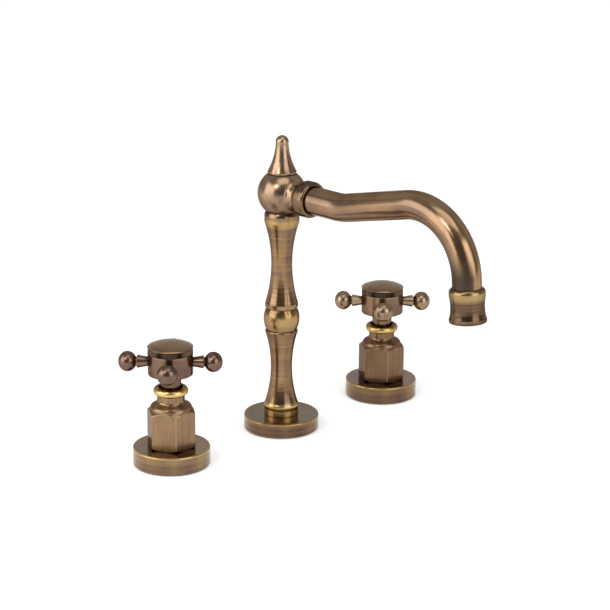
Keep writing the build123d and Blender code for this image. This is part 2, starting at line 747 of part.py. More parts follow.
def throat_cut():
    """Hollow round the boss between the ball and the collar."""
    start = sqrt(HEAD_R**2 - BOSS_R**2) + THROAT_GAP
    end = COLLAR_REACH - THROAT_GAP
    outside = 2 * BOSS_R
    return turned(
        ThreePointArc((BOSS_R, start), (BOSS_R - THROAT_DEPTH, (start + end) / 2), (BOSS_R, end)),
        Polyline((BOSS_R, end), (outside, end), (outside, start), (BOSS_R, start)),
    )


def spout_head():
    """Ball head with a foot, a threaded boss for the spout and a seat for the finial."""
    ball = Pos(0, 0, HEAD_Z) * Sphere(HEAD_R)
    trimmed = ball & rod(2 * HEAD_R, HEAD_BOTTOM, FINIAL_Z - HEAD_BOTTOM)
    boss = rod(BOSS_R, 0, BOSS_REACH) - throat_cut()
    return (
        trimmed
        + forward(boss, 0, HEAD_Z)
        - forward(rod(HEAD_WATERWAY_R, 0, BOSS_REACH), 0, HEAD_Z)
        - rod(SPIGOT_R + THREAD_FIT, HEAD_BOTTOM, SPIGOT_IN_HEAD)
        - rod(SPIGOT_BORE_R, HEAD_BOTTOM, HEAD_Z - HEAD_BOTTOM)
        - rod(FINIAL_STUD_R + THREAD_FIT, FINIAL_Z - FINIAL_STUD_L - SEAT_GAP, FINIAL_STUD_L + SEAT_GAP)
    )


def finial():
    """Finial: threaded stud, base over a crease, long hollow sweep and a round tip."""
    base_top = FINIAL_Z + FINIAL_BASE_H
    crease_r = FINIAL_BASE_R - FINIAL_CREASE_DEPTH
    crease_top = FINIAL_Z + FINIAL_CREASE_H
    tip_z = FINIAL_Z + FINIAL_H - FINIAL_TIP_R
    mid_z = base_top + FINIAL_SWEEP_H * (tip_z - base_top)
    mid_r = FINIAL_NECK_R + FINIAL_SWEEP_R * (FINIAL_BASE_R - FINIAL_NECK_R)
    return turned(
        Polyline(
            (0, FINIAL_Z - FINIAL_STUD_L),
            (FINIAL_STUD_R, FINIAL_Z - FINIAL_STUD_L),
            (FINIAL_STUD_R, FINIAL_Z),
            (crease_r, FINIAL_Z),
            (crease_r, crease_top),
            (FINIAL_BASE_R, crease_top),
            (FINIAL_BASE_R, base_top),
        ),
        ThreePointArc((FINIAL_BASE_R, base_top), (mid_r, mid_z), (FINIAL_NECK_R, tip_z)),
        Line((FINIAL_NECK_R, tip_z), (FINIAL_TIP_R, tip_z)),
        CenterArc((0, tip_z), FINIAL_TIP_R, 0, 90),
        Line((0, tip_z + FINIAL_TIP_R), (0, FINIAL_Z - FINIAL_STUD_L)),
    )


def spout_collar():
    """Union collar that draws the tube's flange on to the head's boss."""
    end = COLLAR_L
    round_z = end - COLLAR_ROUND
    face_r = RECESS_WALL_R + COLLAR_FACE_W
    shoulder = TUBE_START_REACH + TUBE_FLANGE_T + SEAT_GAP - COLLAR_REACH
    blank = turned(
        Line((0, 0), (COLLAR_R - COLLAR_BACK_ROUND, 0)),
        CenterArc((COLLAR_R - COLLAR_BACK_ROUND, COLLAR_BACK_ROUND), COLLAR_BACK_ROUND, -90, 90),
        Line((COLLAR_R, COLLAR_BACK_ROUND), (COLLAR_R, round_z)),
        Bezier(
            (COLLAR_R, round_z),
            (COLLAR_R, round_z + KAPPA * COLLAR_ROUND),
            (face_r + KAPPA * (COLLAR_R - face_r), end),
            (face_r, end),
        ),
        Polyline((face_r, end), (0, end), (0, 0)),
    )
    collar = blank - rod(COLLAR_BORE_R, 0, shoulder) - rod(RECESS_WALL_R, 0, end)
    return forward(collar, COLLAR_REACH, HEAD_Z)


def union_washer():
    """Flat seal between the head's boss and the tube's flange."""
    washer = ring(BOSS_R, TUBE_R - TUBE_WALL, 0, UNION_WASHER_T)
    return forward(washer, BOSS_REACH, HEAD_Z)


def tube_corner():
    """Reach and height where the rising run and the tail would meet if they ran on."""
    rise = tan(radians(TUBE_RISE_ANGLE))
    lean = tan(radians(TUBE_TAIL_TILT))
    tail_z = HEAD_Z
    climb = (rise * (TUBE_TAIL_REACH - TUBE_LEVEL_REACH)) / (1 + rise * lean)
    return (TUBE_TAIL_REACH - climb * lean, tail_z + climb)


def tube_end():
    """Reach and height of the tube's lower end."""
    tilt = radians(TUBE_TAIL_TILT)
    return (TUBE_TAIL_REACH + TUBE_TAIL_DROP * tan(tilt), HEAD_Z - TUBE_TAIL_DROP)


def spout_tube():
    """Bent spout tube with a flange at the union."""
    corner_reach, corner_z = tube_corner()
    end_reach, end_z = tube_end()
    path = FilletPolyline(
        (0, -TUBE_START_REACH, HEAD_Z),
        (0, -TUBE_LEVEL_REACH, HEAD_Z),
        (0, -corner_reach, corner_z),
        (0, -end_reach, end_z),
        radius=[TUBE_FIRST_BEND_R, TUBE_BEND_R],
    )
    start = Plane((0, -TUBE_START_REACH, HEAD_Z), x_dir=(1, 0, 0), z_dir=(0, -1, 0))
    section = start * (Circle(TUBE_R) - Circle(TUBE_R - TUBE_WALL))
    tube = sweep(section, path)
    rim = forward(ring(TUBE_FLANGE_R, TUBE_R - TUBE_WALL, 0, TUBE_FLANGE_T), TUBE_START_REACH, HEAD_Z)
    return tube + rim


def at_nozzle(piece):
    """Moves a piece made down +Z from the nozzle's top to its place on the tail."""
    end_reach, end_z = tube_end()
    tilt = radians(TUBE_TAIL_TILT)
    top_reach = end_reach - NOZZLE_SLEEVE * sin(tilt)
    top_z = end_z + NOZZLE_SLEEVE * cos(tilt)
    return Pos(0, -top_reach, top_z) * Rot(180 - TUBE_TAIL_TILT, 0, 0) * piece


def nozzle():
    """Nozzle housing: rolled band, drawn-in waist, flared lip and aerator chamber."""
    lip_z = NOZZLE_H - NOZZLE_LIP_H
    band_end_r = NOZZLE_BAND_R - NOZZLE_BAND_DRAFT
    bore_r = TUBE_R + THREAD_FIT
    mouth_r = bore_r + NOZZLE_MOUTH_W
    chamber_r = AERATOR_R + THREAD_FIT
    blank = turned(
        Line((0, 0), (mouth_r, 0)),
        ThreePointArc(
            (mouth_r, 0),
            (NOZZLE_BAND_R - NOZZLE_BAND_ROLL_R, NOZZLE_BAND_ROLL_H),
            (NOZZLE_BAND_R, NOZZLE_BAND_CREST),
        ),
        Line((NOZZLE_BAND_R, NOZZLE_BAND_CREST), (band_end_r, NOZZLE_BAND_H)),
        ThreePointArc(
            (band_end_r, NOZZLE_BAND_H),
            (NOZZLE_WAIST_R, (NOZZLE_BAND_H + lip_z) / 2),
            (NOZZLE_LIP_R - NOZZLE_LIP_STEP, lip_z),
        ),
        Polyline(
            (NOZZLE_LIP_R - NOZZLE_LIP_STEP, lip_z),
            (NOZZLE_LIP_R, lip_z + NOZZLE_LIP_STEP),
            (NOZZLE_LIP_R, NOZZLE_H - NOZZLE_EDGE),
        ),
        CenterArc((NOZZLE_LIP_R - NOZZLE_EDGE, NOZZLE_H - NOZZLE_EDGE), NOZZLE_EDGE, 0, 90),
        Polyline((NOZZLE_LIP_R - NOZZLE_EDGE, NOZZLE_H), (0, NOZZLE_H), (0, 0)),
    )
    chamber_z = NOZZLE_H - AERATOR_RECESS - AERATOR_H - AERATOR_SEAT_W
    housing = (
        blank
        - rod(bore_r, 0, NOZZLE_SLEEVE)
        - rod(TUBE_R - TUBE_WALL, 0, NOZZLE_H)
        - rod(chamber_r, chamber_z, NOZZLE_H - chamber_z)
    )
    return at_nozzle(housing)


def aerator_washer():
    """Flat seal above the aerator."""
    z = NOZZLE_H - AERATOR_RECESS - AERATOR_H - AERATOR_SEAT_W
    return at_nozzle(ring(AERATOR_R, AERATOR_R - AERATOR_SEAT_W, z, AERATOR_SEAT_W))


def aerator_insert():
    """Cup-shaped aerator with rings of holes in its floor."""
    z = NOZZLE_H - AERATOR_RECESS - AERATOR_H
    cup = rod(AERATOR_R, z, AERATOR_H)
    cup -= rod(AERATOR_R - AERATOR_SEAT_W, z, AERATOR_H - AERATOR_FLOOR)
    hole = rod(AERATOR_HOLE_R, z, AERATOR_H)
    holes = [hole]
    for index in range(1, AERATOR_RINGS + 1):
        holes += PolarLocations(index * AERATOR_PITCH, 6 * index) * hole
    return at_nozzle(cup - holes)


def valve_pieces(side, x, facing):
    """All pieces of one valve by node name; facing turns the side outlet to the spout."""
    place = Pos(x, 0, 0) * Rot(0, 0, facing)
    local = {
        "flange": flange(VALVE_FLANGE_R, VALVE_FLANGE_H, VALVE_SHANK_R),
        "gasket": gasket(VALVE_FLANGE_R, VALVE_SHANK_R),
        "shroud": shroud(),
        "valve_body": valve_body(),
        "lock_nut": lock_nut(VALVE_SHANK_R),
        "deck_washer": deck_washer(VALVE_SHANK_R),
        "cartridge": cartridge(),
        "spindle": spindle(),
        "turning_disc": turning_disc(),
        "fixed_disc": fixed_disc(),
        "seat_seal": seat_seal(),
        "handle_hub": handle_hub(),
        "handle_cap": handle_cap(),
        "handle_screw": handle_screw(),
    }
    arm = handle_arm()
    for index in range(ARM_COUNT):
        local[f"arm_{index + 1}"] = at_arm(arm, index)
    return {f"{side}_{name}": place * piece for name, piece in local.items()}


def spout_pieces():
    """All pieces of the spout by node name."""
    return {
        "spout_flange": flange(SPOUT_FLANGE_R, SPOUT_FLANGE_H, SPOUT_SHANK_R),
        "spout_gasket": gasket(SPOUT_FLANGE_R, SPOUT_SHANK_R),
        "spout_shank": spout_shank(),
        "spout_lock_nut": lock_nut(SPOUT_SHANK_R),
        "spout_deck_washer": deck_washer(SPOUT_SHANK_R),
        "spout_tee": spout_tee(),
        "spout_riser": spout_riser(),
        "column_lower": column_lower(),
        "column_bead": column_bead(),
        "column_upper": column_upper(),
        "slip_ring": slip_ring(),
        "swivel_spigot": swivel_spigot(),
        "spigot_orings": spigot_orings(),
        "spigot_clip": spigot_clip(),
        "spout_head": spout_head(),
        "finial": finial(),
        "spout_collar": spout_collar(),
        "union_washer": union_washer(),
        "spout_tube": spout_tube(),
        "nozzle": nozzle(),
        "aerator_washer": aerator_washer(),
        "aerator_insert": aerator_insert(),
    }


pieces = {
    **valve_pieces("hot", HOT_X, 0),
    **spout_pieces(),
    **valve_pieces("cold", COLD_X, 180),
}
os.makedirs("parts", exist_ok=True)
for node, shape in pieces.items():
    export_step(shape, f"parts/{node}.step")
print(len(pieces), "nodes written")
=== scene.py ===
# %% [markdown]
# # A three-hole basin mixer in antique brass
# The solids of the mixer come ready made: two valves with cross handles, and a turned pillar
# that carries a swivelling spout. This lesson dresses them. It sets up a small photo studio,
# builds the aged brass as node groups, and adds what was too fine for the solids: the knurled
# bands under the handle caps and the threads below the deck.

# %% Load the solids
import json
from math import cos, pi, radians, sin

import bmesh
import bpy
from mathutils import Matrix, Vector


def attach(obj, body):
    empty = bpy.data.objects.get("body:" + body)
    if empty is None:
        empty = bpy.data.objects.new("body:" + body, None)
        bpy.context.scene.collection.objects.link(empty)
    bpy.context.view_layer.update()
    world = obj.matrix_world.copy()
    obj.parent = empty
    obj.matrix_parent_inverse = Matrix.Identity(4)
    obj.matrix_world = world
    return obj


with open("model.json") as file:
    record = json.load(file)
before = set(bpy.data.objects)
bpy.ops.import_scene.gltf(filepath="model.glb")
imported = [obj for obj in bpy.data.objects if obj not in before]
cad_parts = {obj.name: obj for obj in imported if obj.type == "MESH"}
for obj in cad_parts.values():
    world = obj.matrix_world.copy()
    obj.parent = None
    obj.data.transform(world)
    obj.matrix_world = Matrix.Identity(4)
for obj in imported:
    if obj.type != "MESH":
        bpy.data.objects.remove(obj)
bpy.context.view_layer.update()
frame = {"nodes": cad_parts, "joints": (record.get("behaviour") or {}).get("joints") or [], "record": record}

MM = 0.001
nodes = frame["nodes"]

# %% [markdown]
# ## Where things turn
# Each valve and the spout turn about an upright axis. The joints already hold those places, so
# the lesson reads them from there and doesn't type them again.

# %% Axes of the moving pieces
joint_place = {joint["name"]: Vector(joint["pos_m"]) for joint in frame["joints"]}
HOT_AXIS = Vector((joint_place["hot_turn"].x, 0, 0))
COLD_AXIS = Vector((joint_place["cold_turn"].x, 0, 0))
SPOUT_AXIS = Vector((0, 0, 0))
print("valve axes at x =", round(HOT_AXIS.x, 4), "and", round(COLD_AXIS.x, 4))

# %% [markdown]
# ## The camera
# A product picture is taken from far away with a long lens, so that the sides stay nearly
# parallel. The angles say where the camera stands round the mixer: azimuth 0 looks along +Y.
# The focal length is known in pixels of a 610 pixel picture, and a 36 mm wide sensor turns it
# into millimetres.

# %% Camera
CAMERA_AZIMUTH = -44.47
CAMERA_ELEVATION = 17.0
CAMERA_ROLL = 0.41
CAMERA_DISTANCE = 1.4025
CAMERA_TARGET = Vector((0.0227, 0, 0.0847))
FOCAL_PIXELS = 2001.2
PICTURE_PIXELS = 610
SENSOR_MM = 36
CAMERA_SEES_TO = 100


def direction(azimuth, elevation):
    """Unit vector from the mixer towards a place in the studio."""
    a = radians(azimuth)
    e = radians(elevation)
    return Vector((sin(a) * cos(e), -cos(a) * cos(e), sin(e)))


def aimed(place, target, roll=0):
    """Matrix of an object at a place that looks at a target."""
    turn = (target - place).to_track_quat("-Z", "Y").to_matrix()
    turn = turn @ Matrix.Rotation(radians(roll), 3, "Z")
    return Matrix.Translation(place) @ turn.to_4x4()


camera_data = bpy.data.cameras.new("studio_camera")
camera_data.sensor_width = SENSOR_MM
camera_data.lens = FOCAL_PIXELS * SENSOR_MM / PICTURE_PIXELS
camera_data.clip_end = CAMERA_SEES_TO
camera = bpy.data.objects.new("studio_camera", camera_data)
camera_place = CAMERA_TARGET + CAMERA_DISTANCE * direction(CAMERA_AZIMUTH, CAMERA_ELEVATION)
camera.matrix_world = aimed(camera_place, CAMERA_TARGET, CAMERA_ROLL)
bpy.context.scene.collection.objects.link(camera)
bpy.context.scene.camera = camera
bpy.context.scene.view_settings.view_transform = "Standard"
print("lens", round(camera_data.lens, 1), "mm")

# %% [markdown]
# ## Node helpers
# Shader trees are easier to read when one line makes one node. `add` makes a node and fills its
# sockets by name, `calc` makes a Math node, and `mixed` blends two colours. A value can be a
# plain number or the output of another node.

# %% Node helpers
def put(tree, value, socket):
    """Links an output to a socket, or sets the socket's own value."""
    if isinstance(value, bpy.types.NodeSocket):
        tree.links.new(value, socket)
    else:
        socket.default_value = value


def add(tree, kind, settings=None, **sockets):
    """Adds a node, sets its options and fills its sockets by name."""
    made = tree.nodes.new(kind)
    for key, value in (settings or {}).items():
        setattr(made, key, value)
    for key, value in sockets.items():
        put(tree, value, made.inputs[key.replace("_", " ")])
    return made


def calc(tree, operation, *values):
    """Adds a Math node and gives its result."""
    made = add(tree, "ShaderNodeMath", {"operation": operation})
    for value, socket in zip(values, made.inputs):
        put(tree, value, socket)
    return made.outputs[0]


def mixed(tree, share, first, second):
    """Blends two colours by a share from 0 to 1."""
    made = add(tree, "ShaderNodeMix", {"data_type": "RGBA"})
    for value, index in ((share, 0), (first, 6), (second, 7)):
        put(tree, value, made.inputs[index])
    return made.outputs[2]


def ranged(tree, value, low, high, start=0, end=1):
    """Maps a value from low..high to start..end with soft ends."""
    settings = {"interpolation_type": "SMOOTHSTEP"}
    made = add(tree, "ShaderNodeMapRange", settings, Value=value)
    for number, socket in zip((low, high, start, end), made.inputs[1:5]):
        socket.default_value = number
    return made.outputs[0]


def noise(tree, vector, scale, detail=3.0, roughness=0.55):
    """Noise from 0 to 1 at a scale in waves for each metre."""
    made = add(tree, "ShaderNodeTexNoise", None, Vector=vector, Scale=scale, Detail=detail)
    made.inputs["Roughness"].default_value = roughness
    return made.outputs[0]


def from_axis(tree, x, y):
    """Distance from the Z axis."""
    squares = calc(tree, "ADD", calc(tree, "MULTIPLY", x, x), calc(tree, "MULTIPLY", y, y))
    return calc(tree, "SQRT", squares)


def new_group(name, inputs, outputs):
    """An empty node group with named sockets; gives the tree and its two ends."""
    group = bpy.data.node_groups.new(name, "ShaderNodeTree")
    for label, kind in inputs:
        group.interface.new_socket(label, in_out="INPUT", socket_type="NodeSocket" + kind)
    for label, kind in outputs:
        group.interface.new_socket(label, in_out="OUTPUT", socket_type="NodeSocket" + kind)
    start = group.nodes.new("NodeGroupInput")
    end = group.nodes.new("NodeGroupOutput")
    return group, start.outputs, end.inputs


def use(tree, group, **sockets):
    """Places a node group in a tree."""
    return add(tree, "ShaderNodeGroup", {"node_tree": group}, **sockets)


print("node helpers ready")

# %% [markdown]
# ## Studio light
# Polished metal shows its surroundings, so the picture is made by what stands round it. Two
# large softboxes left and right of the camera reach down to the floor and give a pair of pale
# highlights on every round form, with a darker strip between them where the camera stands. A
# third one overhead draws a bright line along every rolled edge, and a small one high on the
# left sets a pale spot on each ball and bend. The room is pale behind the mixer and dim in
# front of it, which keeps the flat tops light and that strip dark.

# %% Softboxes and room
STAGE_CENTRE = Vector((0.01, -0.02, 0.10))


def softbox(name, azimuth, elevation, distance, width, height, power):
    """A rectangular light that faces the mixer, placed by angles from the camera's own."""
    light = bpy.data.lights.new(name, "AREA")
    light.shape = "RECTANGLE"
    light.size = width
    light.size_y = height
    light.energy = power
    lamp = bpy.data.objects.new(name, light)
    place = STAGE_CENTRE + distance * direction(CAMERA_AZIMUTH + azimuth, elevation)
    lamp.matrix_world = aimed(place, STAGE_CENTRE)
    lamp.visible_camera = False
    bpy.context.scene.collection.objects.link(lamp)
    return lamp


LAMPS = (
    # name, azimuth, elevation, distance, width, height, power
    ("softbox_left", -66, 21, 1.3, 1.2, 0.95, 11.0),
    ("softbox_right", 46, 21, 1.3, 0.9, 0.95, 7.5),
    ("softbox_top", 10, 70, 1.5, 1.2, 0.8, 6.0),
    ("softbox_key", -34, 42, 1.4, 0.36, 0.36, 3.2),
)
for row in LAMPS:
    softbox(*row)

ROOM_FRONT = (0.17, 0.17, 0.17, 1)
ROOM_BACK = (0.60, 0.60, 0.60, 1)
BACK_ELEVATION = 10
BACK_START = -0.4
BACK_END = 0.7
room = bpy.data.worlds.new("studio_room")
room.use_nodes = True
tree = room.node_tree
towards_back = add(tree, "ShaderNodeVectorMath", {"operation": "DOT_PRODUCT"})
put(tree, add(tree, "ShaderNodeTexCoord").outputs["Generated"], towards_back.inputs[0])
put(tree, direction(CAMERA_AZIMUTH + 180, BACK_ELEVATION), towards_back.inputs[1])
depth = ranged(tree, towards_back.outputs["Value"], BACK_START, BACK_END)
put(tree, mixed(tree, depth, ROOM_FRONT, ROOM_BACK), tree.nodes["Background"].inputs["Color"])
bpy.context.scene.world = room

# %% [markdown]
# ## Floor
# The floor is a wide white sheet at the height of the deck. A little glow of its own, seen by
# the camera and in reflections, brings it up to white, and the soft shadow under each flange
# stays visible. Farther away, where the softboxes don't reach, the glow is stronger.

# %% White floor
FLOOR_HALF = 40.0
FLOOR_DROP = 0.2 * MM
FLOOR_WHITE = (0.92, 0.92, 0.92, 1)
FLOOR_GLOW = 0.34
FAR_GLOW = 0.62
FAR_START = 0.25
FAR_END = 1.6
sheet = bmesh.new()
bmesh.ops.create_grid(sheet, x_segments=1, y_segments=1, size=FLOOR_HALF)
bmesh.ops.translate(sheet, verts=sheet.verts, vec=(0, 0, -FLOOR_DROP))
floor_mesh = bpy.data.meshes.new("white_floor")
sheet.to_mesh(floor_mesh)
sheet.free()
floor = bpy.data.objects.new("white_floor", floor_mesh)
bpy.context.scene.collection.objects.link(floor)

white = bpy.data.materials.new("white_floor")
white.use_nodes = True
tree = white.node_tree
tree.nodes.clear()
paths = add(tree, "ShaderNodeLightPath").outputs
seen = calc(tree, "MAXIMUM", paths["Is Camera Ray"], paths["Is Glossy Ray"])
seen = calc(tree, "MAXIMUM", seen, paths["Is Transmission Ray"])
matt = add(tree, "ShaderNodeBsdfDiffuse", None, Color=FLOOR_WHITE)
away = add(tree, "ShaderNodeVectorMath", {"operation": "LENGTH"})
put(tree, add(tree, "ShaderNodeTexCoord").outputs["Object"], away.inputs[0])
strength = ranged(tree, away.outputs["Value"], FAR_START, FAR_END, FLOOR_GLOW, FAR_GLOW)
glow = add(tree, "ShaderNodeEmission", None, Strength=calc(tree, "MULTIPLY", seen, strength))
both = add(tree, "ShaderNodeAddShader")
tree.links.new(matt.outputs[0], both.inputs[0])
tree.links.new(glow.outputs[0], both.inputs[1])
add(tree, "ShaderNodeOutputMaterial", None, Surface=both.outputs[0])
floor_mesh.materials.append(white)
print("floor", 2 * FLOOR_HALF, "m wide")

# %% [markdown]
# ## Turning marks
# A turned piece keeps faint rings from the lathe and the polishing belt. They run round the
# axis, so the pattern changes quickly with height and radius and hardly at all with angle. The
# streaks do the opposite: they run up and down, partly an uneven darkening and partly painted
# reflection stripes.
# The group takes coordinates that are already centred on the axis, and gives fine rings, broad
# rings and the streaks.

# %% Group: turning marks
MARK_OUTPUTS = [("Fine", "Float"), ("Broad", "Float"), ("Streak", "Float")]
RING_DRIFT = 0.012
BROAD_RINGS = 0.26
AXIS_GAP = 0.5 * MM
STREAK_RISE = 9.0
STREAK_WAVES = 2.2
turning_marks, given, result = new_group(
    "turning_marks", [("Vector", "Vector"), ("Density", "Float")], MARK_OUTPUTS
)
x, y, z = add(turning_marks, "ShaderNodeSeparateXYZ", None, Vector=given["Vector"]).outputs
radius = from_axis(turning_marks, x, y)
drift = calc(turning_marks, "MULTIPLY", x, RING_DRIFT)
rings = add(turning_marks, "ShaderNodeCombineXYZ", None, X=radius, Y=z, Z=drift).outputs[0]
put(turning_marks, noise(turning_marks, rings, given["Density"]), result["Fine"])
broad_scale = calc(turning_marks, "MULTIPLY", given["Density"], BROAD_RINGS)
put(turning_marks, noise(turning_marks, rings, broad_scale, 2.0), result["Broad"])
safe = calc(turning_marks, "ADD", radius, AXIS_GAP)
angle_x = calc(turning_marks, "DIVIDE", x, safe)
angle_y = calc(turning_marks, "DIVIDE", y, safe)
slow_z = calc(turning_marks, "MULTIPLY", z, STREAK_RISE)
round_it = add(turning_marks, "ShaderNodeCombineXYZ", None, X=angle_x, Y=angle_y, Z=slow_z)
# Up-and-down streaks: uneven tone, partly painted reflection stripes.
streaks = noise(turning_marks, round_it.outputs[0], STREAK_WAVES, 4.0)
put(turning_marks, streaks, result["Streak"])
print("group", turning_marks.name)

# %% [markdown]
# ## Brushed marks
# Flat faces and the bent tube were finished on a belt, which leaves straight lines. Here the
# coordinates come squeezed along the belt's direction, so plain noise becomes long streaks.

# %% Group: brushed marks
BROAD_LINES = 0.3
SLOW_LINES = 0.07
brushed_marks, given, result = new_group(
    "brushed_marks", [("Vector", "Vector"), ("Density", "Float")], MARK_OUTPUTS
)
put(brushed_marks, noise(brushed_marks, given["Vector"], given["Density"]), result["Fine"])
broad_scale = calc(brushed_marks, "MULTIPLY", given["Density"], BROAD_LINES)
put(brushed_marks, noise(brushed_marks, given["Vector"], broad_scale, 2.0), result["Broad"])
slow_scale = calc(brushed_marks, "MULTIPLY", given["Density"], SLOW_LINES)
put(brushed_marks, noise(brushed_marks, given["Vector"], slow_scale, 3.0), result["Streak"])
print("group", brushed_marks.name)

# %% [markdown]
# ## Worn edges with painted highlights, and dark corners
# Antique brass is darkened and then rubbed back: edges shine, corners stay dark. The shine on
# the edges is partly that wear and partly a painted highlight. A Bevel node bends the normal
# near an edge, and how far it bends says how near the edge is. Ambient occlusion finds the
# corners.

# %% Group: worn edges with painted highlights
EDGE_REACH = 0.9 * MM
CORNER_REACH = 4.0 * MM
BEVEL_SAMPLES = 6
CORNER_SAMPLES = 8
worn_and_sheen_edges, given, result = new_group(
    "worn_and_sheen_edges", [], [("Wear", "Float"), ("Grime", "Float")]
)
bevel = {"samples": BEVEL_SAMPLES}
bent = add(worn_and_sheen_edges, "ShaderNodeBevel", bevel, Radius=EDGE_REACH).outputs[0]
flat = add(worn_and_sheen_edges, "ShaderNodeNewGeometry").outputs["Normal"]
agree = add(worn_and_sheen_edges, "ShaderNodeVectorMath", {"operation": "DOT_PRODUCT"})
put(worn_and_sheen_edges, bent, agree.inputs[0])
put(worn_and_sheen_edges, flat, agree.inputs[1])
corner = {"samples": CORNER_SAMPLES}
hidden = add(worn_and_sheen_edges, "ShaderNodeAmbientOcclusion", corner, Distance=CORNER_REACH).outputs["AO"]
put(worn_and_sheen_edges, ranged(worn_and_sheen_edges, hidden, 0.3, 0.8, 1, 0), result["Grime"])
# The edge mask: worn brightness that is partly painted highlight.
edge = ranged(worn_and_sheen_edges, agree.outputs["Value"], 0.80, 0.985, 1, 0)
in_reach = ranged(worn_and_sheen_edges, hidden, 0.45, 0.8)
put(worn_and_sheen_edges, calc(worn_and_sheen_edges, "MULTIPLY", edge, in_reach), result["Wear"])
print("group", worn_and_sheen_edges.name)

# %% [markdown]
# ## Rubbed bands with painted highlights
# Some raised bands show clear gold all the way round: the rolled lip of a valve, the foot and
# the head of the pillar, the rim of a flange. The gold is partly rubbed-back metal and partly a
# painted highlight; on the foot ring and the cap crown it is painted highlight only. Each is a
# stretch along the turning axis, and a rim is also kept to the outside by a smallest radius.
# The rubbing leaves them satin, so the metal below makes them a little rougher than the rest.

# %% Group: rubbed band with painted highlight
BAND_CORE = 0.25
BAND_END = 1.25
RIM_BLUR = 0.4 * MM
rubbed_and_sheen_band, given, result = new_group(
    "rubbed_and_sheen_band",
    [("Vector", "Vector"), ("Middle", "Float"), ("Half", "Float"), ("Inside", "Float")],
    [("Band", "Float")],
)
x, y, z = add(rubbed_and_sheen_band, "ShaderNodeSeparateXYZ", None, Vector=given["Vector"]).outputs
away = calc(rubbed_and_sheen_band, "ABSOLUTE", calc(rubbed_and_sheen_band, "SUBTRACT", z, given["Middle"]))
away = calc(rubbed_and_sheen_band, "DIVIDE", away, given["Half"])
stretch = ranged(rubbed_and_sheen_band, away, BAND_CORE, BAND_END, 1, 0)
past = calc(rubbed_and_sheen_band, "SUBTRACT", from_axis(rubbed_and_sheen_band, x, y), given["Inside"])
outside = ranged(rubbed_and_sheen_band, past, -RIM_BLUR, RIM_BLUR)
put(rubbed_and_sheen_band, calc(rubbed_and_sheen_band, "MULTIPLY", stretch, outside), result["Band"])
print("group", rubbed_and_sheen_band.name)

# %% [markdown]
# ## Patina
# The brown skin is uneven: it drifts between gold and brown in soft clouds and streaks, follows
# the marks of the tool, turns bright on the worn edges and nearly black in the corners. The
# streaks are partly painted reflection, the bright edges and bands partly painted highlight, and
# on some pieces the dark mix also carries painted shade. The group gives the colour, and a
# roughness and a height that go with it. `Matt` is how dull the piece is between its marks.

# %% Group: patina
CLOUD_WAVES = 60.0
STREAK_SHARE = 0.28
CLOUD_SHARE = 0.26
BROAD_SHARE = 0.26
FINE_SHARE = 0.20
GRIME_AND_SHADE_SHARE = 0.8
BROAD_DULLS = 0.10
WEAR_SHINES = -0.05
GRIME_DULLS = 0.18
BROAD_HEIGHT = 1.2
patina, given, result = new_group(
    "patina",
    [("Vector", "Vector")]
    + MARK_OUTPUTS
    + [("Wear", "Float"), ("Grime", "Float"), ("Matt", "Float")]
    + [("Gold", "Color"), ("Brown", "Color"), ("Bright", "Color"), ("Dark", "Color")],
    [("Color", "Color"), ("Roughness", "Float"), ("Height", "Float")],
)
clouds = noise(patina, given["Vector"], CLOUD_WAVES)
tone = calc(patina, "MULTIPLY", ranged(patina, given["Streak"], 0.32, 0.68), STREAK_SHARE)
tone = calc(patina, "MULTIPLY_ADD", ranged(patina, clouds, 0.34, 0.66), CLOUD_SHARE, tone)
tone = calc(patina, "MULTIPLY_ADD", ranged(patina, given["Broad"], 0.36, 0.64), BROAD_SHARE, tone)
tone = calc(patina, "MULTIPLY_ADD", ranged(patina, given["Fine"], 0.36, 0.64), FINE_SHARE, tone)
skin = mixed(patina, tone, given["Brown"], given["Gold"])
# Bright mix: worn edges and bands, partly painted highlight.
skin = mixed(patina, given["Wear"], skin, given["Bright"])
# Dark mix: patina in the corners, plus painted shade where a material passes it in.
skin = mixed(patina, calc(patina, "MULTIPLY", given["Grime"], GRIME_AND_SHADE_SHARE), skin, given["Dark"])
put(patina, skin, result["Color"])
rough = calc(patina, "MULTIPLY_ADD", given["Broad"], BROAD_DULLS, given["Matt"])
rough = calc(patina, "MULTIPLY_ADD", given["Wear"], WEAR_SHINES, rough)
rough = calc(patina, "MULTIPLY_ADD", given["Grime"], GRIME_DULLS, rough)
put(patina, rough, result["Roughness"])
relief = calc(patina, "MULTIPLY_ADD", given["Broad"], BROAD_HEIGHT, given["Fine"])
put(patina, relief, result["Height"])
print("group", patina.name)

# %% [markdown]
# ## Antique brass
# One function makes the metal for any piece. It centres the coordinates on the piece's own
# axis, so that the rings of a valve run round the valve and those of the collar round the
# tube. The grooves of the tool spread a reflection across them, which draws the highlights out
# into stripes. A thin clear lacquer lies over the metal and adds a pale, sharper shine. Real
# darkened brass also loses brightness where it is seen at a flat angle, so the shader's own
# tint for such angles is dark and every round form gets a deep outline.

